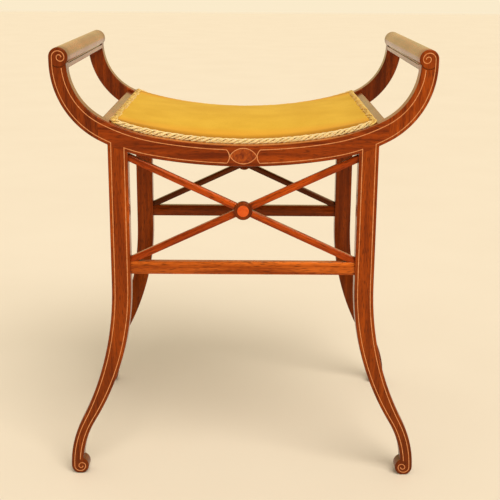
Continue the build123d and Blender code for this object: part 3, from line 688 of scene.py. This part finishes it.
def velvet_top(x, y):
    """Height of the velvet, found by a ray from above."""
    hit, place, _, _ = seat.ray_cast((x, y, 1), (0, 0, -1))
    return place.z if hit else seat_top(x, y)


def on_braid(distance, share, lift=0.0):
    """Point of the braid, lifted off its surface."""
    place, outward = on_line(distance)
    angle = share * math.pi / 2
    reach = BRAID_OUT + BRAID_LAP + (END_LAP - BRAID_LAP) * outward.x**2
    edge = place - outward * reach
    place = place - outward * (reach * (1 - math.cos(angle)) - lift * math.cos(angle))
    beside = min(max((REBATE_END - abs(place.y)) / REBATE_SLOPE, 0), 1)
    wood = rail_top(place.x) - REBATE * (1 - share) * beside * abs(outward.x)
    top = velvet_top(edge.x, edge.y)
    rise = (top - rail_top(edge.x)) + (rail_top(place.x) - wood)
    return Vector((place.x, place.y, wood + BRAID_LIFT + (rise + lift) * math.sin(angle)))


bpy.context.view_layer.update()
print("braid is", round(1000 * around), "mm long")

# %% [markdown]
# ## Twisted strands
# A strand of the gimp is a few silk threads that lie side by side and climb round the braid together. Each
# thread is a curve with a round section: over the front it rises from the wood to the velvet, and then it
# goes back under the tape, out of sight. A little unevenness makes the twist look hand made,
# and at the ends of the seat the threads have come loose.

# %% Threads
TWIST = 0.040  # length along the braid of one full turn
STRANDS = 4
THREADS = 2
THREAD_RADIUS = 0.00105
THREAD_LAG = 0.45  # radians between threads that lie side by side
STAND_OFF = 0.0022  # strand off the tape, in the middle of the braid
EDGE_STAND_OFF = 0.0007  # the same where it turns under
POINTS_PER_TURN = 16
UNEVEN = 0.0016  # how far a turn may slip along the braid
END_UNEVEN = 0.0090  # the same at the ends of the seat
BULGE = 0.3  # share by which a turn may stand off more or less
END_THINNER = 0.3  # share by which the threads are thinner there
END_FLATTER = 0.4  # share by which the strands lie closer to the tape there
CLIMB = 0.46  # share of the braid's width that a strand climbs to each side of its middle
END_CLIMB = 0.2  # how much more or less that may be at the ends of the seat
shake = random.Random(5)


def twisted_thread(name, phase):
    """Thread that climbs round the braid, as a curve."""
    turns = round(around / TWIST)
    count = turns * POINTS_PER_TURN
    curve = bpy.data.curves.new(name, "CURVE")
    curve.dimensions = "3D"
    curve.bevel_depth = THREAD_RADIUS
    curve.bevel_resolution = 1
    spline = curve.splines.new("POLY")
    spline.points.add(count - 1)
    spline.use_cyclic_u = True
    slips = [shake.uniform(-1, 1) for _ in range(turns + 2)]
    for index in range(count):
        turn_angle = 2 * math.pi * index / POINTS_PER_TURN + phase
        distance = around * index / count
        slip = slips[int((turn_angle + math.pi) / (2 * math.pi))]
        loose = on_line(distance)[1].x ** 2
        distance += slip * (UNEVEN + (END_UNEVEN - UNEVEN) * loose)
        lift = EDGE_STAND_OFF + (STAND_OFF - EDGE_STAND_OFF) * math.cos(turn_angle)
        lift *= (1 - END_FLATTER * loose) * (1 + BULGE * slip)
        share = 0.5 + (CLIMB + END_CLIMB * slip * loose) * math.sin(turn_angle)
        place = on_braid(distance, share, max(lift, -THREAD_RADIUS / 2))
        spline.points[index].co = (*place, 1)
        spline.points[index].radius = 1 - END_THINNER * loose
    return bpy.data.objects.new(name, curve)


threads = []
for strand in range(STRANDS):
    for thread in range(THREADS):
        phase = 2 * math.pi * strand / STRANDS + THREAD_LAG * thread
        threads.append(twisted_thread("braid_thread", phase))
print(len(threads), "threads with", len(threads[0].data.splines[0].points), "points each")

# %% [markdown]
# ## Tape and braid
# Behind the threads lies a thin woven tape, a strip of quads bent over the edge of the seat. The tape and
# the threads become one mesh.

# %% Tape behind the threads, and the whole braid
TAPE_STEP = 0.003
TAPE_ROWS = 5
TAPE_THICKNESS = 0.0008

braid_parts = bmesh.new()
columns_round = round(around / TAPE_STEP)
tape_points = []
for column in range(columns_round):
    distance = around * column / columns_round
    row = []
    for level in range(TAPE_ROWS):
        row.append(braid_parts.verts.new(on_braid(distance, level / (TAPE_ROWS - 1))))
    tape_points.append(row)
for column in range(columns_round):
    left, right = tape_points[column - 1], tape_points[column]
    for level in range(TAPE_ROWS - 1):
        braid_parts.faces.new((left[level], right[level], right[level + 1], left[level + 1]))
bmesh.ops.recalc_face_normals(braid_parts, faces=braid_parts.faces)
bmesh.ops.solidify(braid_parts, geom=braid_parts.faces[:], thickness=TAPE_THICKNESS)
tape_faces = len(braid_parts.faces)
for thread in threads:
    bpy.context.collection.objects.link(thread)
    graph = bpy.context.evaluated_depsgraph_get()
    braid_parts.from_mesh(bpy.data.meshes.new_from_object(thread.evaluated_get(graph)))
    bpy.data.objects.remove(thread)
braid_parts.faces.ensure_lookup_table()
for face in braid_parts.faces[tape_faces:]:
    face.material_index = 1
braid = add_object("gimp_braid", braid_parts)
braid_mesh = braid.data
for polygon in braid_mesh.polygons:
    polygon.use_smooth = True
print("braid of", len(braid_mesh.polygons), "faces")

# %% [markdown]
# ## Silk gimp
# The threads are spun silk, cream with a little gold, and a low sheen. The tape behind them is a darker
# gold, made darker still as painted shade between the strands, where it shows. A noise at the size of the
# fibres varies both colours. At the ends of the seat both are painted a soft gold, with painted shade that
# dulls the cream threads and painted light that lifts the dark tape.

# %% Gimp material
THREAD_SIZE = 0.0007
END_LIGHT_AND_SHADE = (0.013, 0.006)  # painted light and shade of the ends, from the first to the second distance from the end of the seat


def spun_silk(name, dark, light):
    """Silk thread between two tones."""
    material, tree = start_material(name)
    place = add_node(tree, "TexCoord", {}).outputs["Object"]
    thread = add_node(
        tree, "TexNoise", {"Vector": place, "Scale": 1 / THREAD_SIZE, "Detail": 1}
    ).outputs["Fac"]
    thread = add_node(
        tree, "MapRange", {"Value": thread, "From Min": 0.35, "From Max": 0.65}
    ).outputs[0]
    silk = add_node(
        tree, "Mix", {0: thread, MIX_A: linear(dark), MIX_B: linear(light)}, data_type="RGBA"
    ).outputs[MIX_COLOUR]
    sideways = add_node(tree, "SeparateXYZ", {"Vector": place}).outputs["X"]
    sideways = add_node(tree, "Math", {0: sideways}, operation="ABSOLUTE").outputs[0]
    # painted light and shade at the ends of the seat: cream threads dulled to gold, the dark tape lifted
    end_light_and_shade = add_node(
        tree,
        "MapRange",
        {"Value": sideways, "From Min": HALF_X - END_LIGHT_AND_SHADE[0], "From Max": HALF_X - END_LIGHT_AND_SHADE[1], "To Max": 0.75},
    ).outputs[0]
    silk = add_node(
        tree, "Mix", {0: end_light_and_shade, MIX_A: silk, MIX_B: linear("#EBC05A")}, data_type="RGBA"
    ).outputs[MIX_COLOUR]
    bump = add_node(tree, "Bump", {"Height": thread, "Strength": 0.5, "Distance": 0.0004})
    shader = add_node(
        tree,
        "BsdfPrincipled",
        {
            "Base Color": silk,
            "Subsurface Weight": 0.3,
            "Subsurface Radius": (0.002, 0.0015, 0.001),
            "Subsurface Scale": 1.0,
            "Roughness": 0.6,
            "Normal": bump.outputs[0],
            "Sheen Weight": 0.2,
            "Sheen Roughness": 0.4,
            "Sheen Tint": linear("#FFF0C8"),
        },
    )
    add_node(tree, "OutputMaterial", {"Surface": shader.outputs[0]})
    return material


# the tape's dark gold is partly painted shade for the gaps between the strands
tape_silk = spun_silk("old_gold_silk", "#6E4A10", "#B07C26")
cord_silk = spun_silk("cream_silk", "#E8C270", "#FFF0C4")
braid_mesh.materials.append(tape_silk)
braid_mesh.materials.append(cord_silk)
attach(braid, "root")
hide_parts("seat_braid")
print("braid in", cord_silk.name, "on", tape_silk.name)

# %% [markdown]
# ## Webbing
# Under the stuffing, jute straps are stretched across the frame, woven over and under each other. Each
# strap is a strip of quads that follows the rail's curve and waves over and under the straps it crosses.
# A Solidify modifier gives it its thickness.

# %% Straps
STRAP_WIDTH = 0.050
STRAP_THICKNESS = 0.0009
WEAVE = 0.00055  # how far a strap goes over or under
STRAP_LEVEL = 0.00125  # middle of the weave above the rail
STRAPS = 5
STRAP_STEPS = 64  # quads along a strap
STRAP_QUADS = 4  # quads across it


def strap_middles(node, axis):
    """Middles of the straps of a node, spread across it."""
    low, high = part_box(node)
    first = low[axis] + STRAP_WIDTH / 2
    pitch = (high[axis] - low[axis] - STRAP_WIDTH) / (STRAPS - 1)
    return [first + pitch * index for index in range(STRAPS)]


rows = strap_middles("seat_webbing_long", 1)
columns = strap_middles("seat_webbing_cross", 0)


def weave(place, middles):
    """Wave that is 1 and -1 in turn at the middles."""
    return math.cos(math.pi * (place - middles[0]) / (middles[1] - middles[0]))


def thicken(piece, thickness):
    """Give a sheet its thickness, half of it on each side."""
    thick = piece.modifiers.new("thickness", "SOLIDIFY")
    thick.thickness = thickness
    thick.offset = 0


def straps(name, along, middles, crossed, side):
    """Woven straps along an axis, as one piece.

    Side is 1 where the first strap starts over the straps it crosses, and -1 where it starts under them.
    """
    low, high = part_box(name)
    cloth = bmesh.new()
    for index, middle in enumerate(middles):
        strip = bmesh.ops.create_grid(cloth, x_segments=STRAP_STEPS, y_segments=STRAP_QUADS, size=1)
        for vertex in strip["verts"]:
            run = low[along] + (high[along] - low[along]) * (vertex.co.x + 1) / 2
            across = middle + vertex.co.y * STRAP_WIDTH / 2
            x, y = (run, across) if along == 0 else (across, run)
            wave = side * (-1) ** index * weave(run, crossed)
            vertex.co = (x, y, rail_top(x) + STRAP_LEVEL + WEAVE * wave)
    bmesh.ops.recalc_face_normals(cloth, faces=cloth.faces)
    piece = add_object("woven_" + name, cloth)
    thicken(piece, STRAP_THICKNESS)
    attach(piece, "root")
    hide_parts(name)
    return piece


long_straps = straps("seat_webbing_long", 0, rows, columns, 1)
cross_straps = straps("seat_webbing_cross", 1, columns, rows, -1)
print("straps", len(rows), "long and", len(columns), "across")

# %% [markdown]
# ## Hessian
# A sheet of hessian lies on the webbing, so that the stuffing can't fall through. It follows the same
# curve.

# %% Hessian sheet
HESSIAN_LEVEL = 0.0029  # above the rail
HESSIAN_THICKNESS = 0.0005
HESSIAN_STEPS = 64  # quads along the seat
HESSIAN_QUADS = 8  # quads across it

_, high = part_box("seat_hessian")
cloth = bmesh.new()
bmesh.ops.create_grid(cloth, x_segments=HESSIAN_STEPS, y_segments=HESSIAN_QUADS, size=1)
for vertex in cloth.verts:
    x = vertex.co.x * high[0]
    vertex.co = (x, vertex.co.y * high[1], rail_top(x) + HESSIAN_LEVEL)
hessian = add_object("hessian_sheet", cloth)
thicken(hessian, HESSIAN_THICKNESS)
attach(hessian, "root")
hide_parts("seat_hessian")

# %% [markdown]
# ## Jute
# Both cloths are jute, a coarse straw-coloured fibre in a plain weave. Two crossed waves give the threads.
# Webbing has a dense weave of thick threads, and hessian an open one.

# %% Jute materials
FIBRE_RATE = 0.6  # spots of fibre in the width of a thread


def woven_jute(name, thread, dark, light):
    """Plain weave of jute with that thread spacing."""
    material, tree = start_material(name)
    place = add_node(tree, "TexCoord", {}).outputs["Object"]
    parts = add_node(tree, "SeparateXYZ", {"Vector": place})
    turns = 2 * math.pi / (2 * thread)
    waves = []
    for axis in ("X", "Y"):
        angle = add_node(tree, "Math", {0: parts.outputs[axis], 1: turns}, operation="MULTIPLY").outputs[0]
        waves.append(add_node(tree, "Math", {0: angle}, operation="SINE").outputs[0])
    weave_height = add_node(tree, "Math", {0: waves[0], 1: waves[1]}, operation="MULTIPLY").outputs[0]
    weave_height = add_node(
        tree, "MapRange", {"Value": weave_height, "From Min": -1, "From Max": 1}
    ).outputs[0]
    fibre = add_node(
        tree, "TexNoise", {"Vector": place, "Scale": FIBRE_RATE / thread, "Detail": 3}
    ).outputs["Fac"]
    tone = add_node(tree, "Math", {0: weave_height, 1: fibre}, operation="MULTIPLY").outputs[0]
    jute = add_node(
        tree, "Mix", {0: tone, MIX_A: linear(dark), MIX_B: linear(light)}, data_type="RGBA"
    ).outputs[MIX_COLOUR]
    bump = add_node(tree, "Bump", {"Height": weave_height, "Strength": 0.6, "Distance": 0.0005})
    shader = add_node(
        tree, "BsdfPrincipled", {"Base Color": jute, "Roughness": 0.9, "Normal": bump.outputs[0]}
    )
    add_node(tree, "OutputMaterial", {"Surface": shader.outputs[0]})
    return material


webbing_jute = woven_jute("jute_webbing", 0.0016, "#6E5632", "#C9AD7C")
hessian_jute = woven_jute("jute_hessian", 0.0022, "#5E4828", "#B4965E")
long_straps.data.materials.append(webbing_jute)
cross_straps.data.materials.append(webbing_jute)
hessian.data.materials.append(hessian_jute)
print("jute for", webbing_jute.name, "and", hessian_jute.name)

# %% [markdown]
# ## Floor
# The stool stands on a plain pale floor with a faint cloudiness. It belongs to the stage, not to the stool.

# %% Floor
FLOOR_SIZE = 30.0
CLOUD_RATE = 3  # clouds in a metre


def pale_floor():
    """Matt floor between two close tints."""
    material, tree = start_material("pale_floor")
    place = add_node(tree, "TexCoord", {}).outputs["Object"]
    cloud = add_node(tree, "TexNoise", {"Vector": place, "Scale": CLOUD_RATE, "Detail": 2}).outputs["Fac"]
    tint = add_node(
        tree, "Mix", {0: cloud, MIX_A: linear("#E8E0D2"), MIX_B: linear("#EEE7DA")}, data_type="RGBA"
    ).outputs[MIX_COLOUR]
    shader = add_node(tree, "BsdfPrincipled", {"Base Color": tint, "Roughness": 0.7})
    add_node(tree, "OutputMaterial", {"Surface": shader.outputs[0]})
    return material


ground = bmesh.new()
bmesh.ops.create_grid(ground, x_segments=1, y_segments=1, size=FLOOR_SIZE / 2)
floor = add_object("floor", ground)
floor.data.materials.append(pale_floor())
print("floor of", FLOOR_SIZE, "m")

# %% [markdown]
# ## Light
# The light is that of a soft studio: one wide sun, high in front and to the right, and a pale room all
# round. Polished wood shows what it reflects, so a Light Path node gives the room three brightnesses: one
# that lights the stool, a pale one behind it, and a warmer one for reflections.

# %% Sun and room
SUN_FROM = (0.30, -0.62, 0.85)  # direction of the sun, seen from the stool
SUN_SPREAD = 40.0  # degrees; wide, so that shadows are soft
SUN_POWER = 2.2
ROOM_LIGHT = 0.66  # what the room adds to the sun

sun = bpy.data.objects.new("soft_sun", bpy.data.lights.new("soft_sun", "SUN"))
sun.data.energy = SUN_POWER
sun.data.angle = math.radians(SUN_SPREAD)
sun.data.color = linear("#FFF3E2")[:3]
sun.rotation_euler = Vector(SUN_FROM).to_track_quat("Z", "Y").to_euler()
bpy.context.collection.objects.link(sun)
world = bpy.data.worlds.new("pale_room")
bpy.context.scene.world = world
world.use_nodes = True
room = world.node_tree
room.nodes.clear()
lit = add_node(room, "Background", {"Color": linear("#F6E9D2"), "Strength": ROOM_LIGHT})
behind = add_node(room, "Background", {"Color": linear("#FBEBCB"), "Strength": 1.0})
mirrored = add_node(room, "Background", {"Color": linear("#F8DF9C"), "Strength": 1.0})
path = add_node(room, "LightPath", {})
unseen = add_node(
    room, "MixShader", {0: path.outputs["Is Glossy Ray"], 1: lit.outputs[0], 2: mirrored.outputs[0]}
)
whole = add_node(
    room, "MixShader", {0: path.outputs["Is Camera Ray"], 1: unseen.outputs[0], 2: behind.outputs[0]}
)
add_node(room, "OutputWorld", {"Surface": whole.outputs[0]})
bpy.context.scene.view_settings.view_transform = "Standard"
print("sun of", SUN_POWER, "and a pale room of", ROOM_LIGHT)
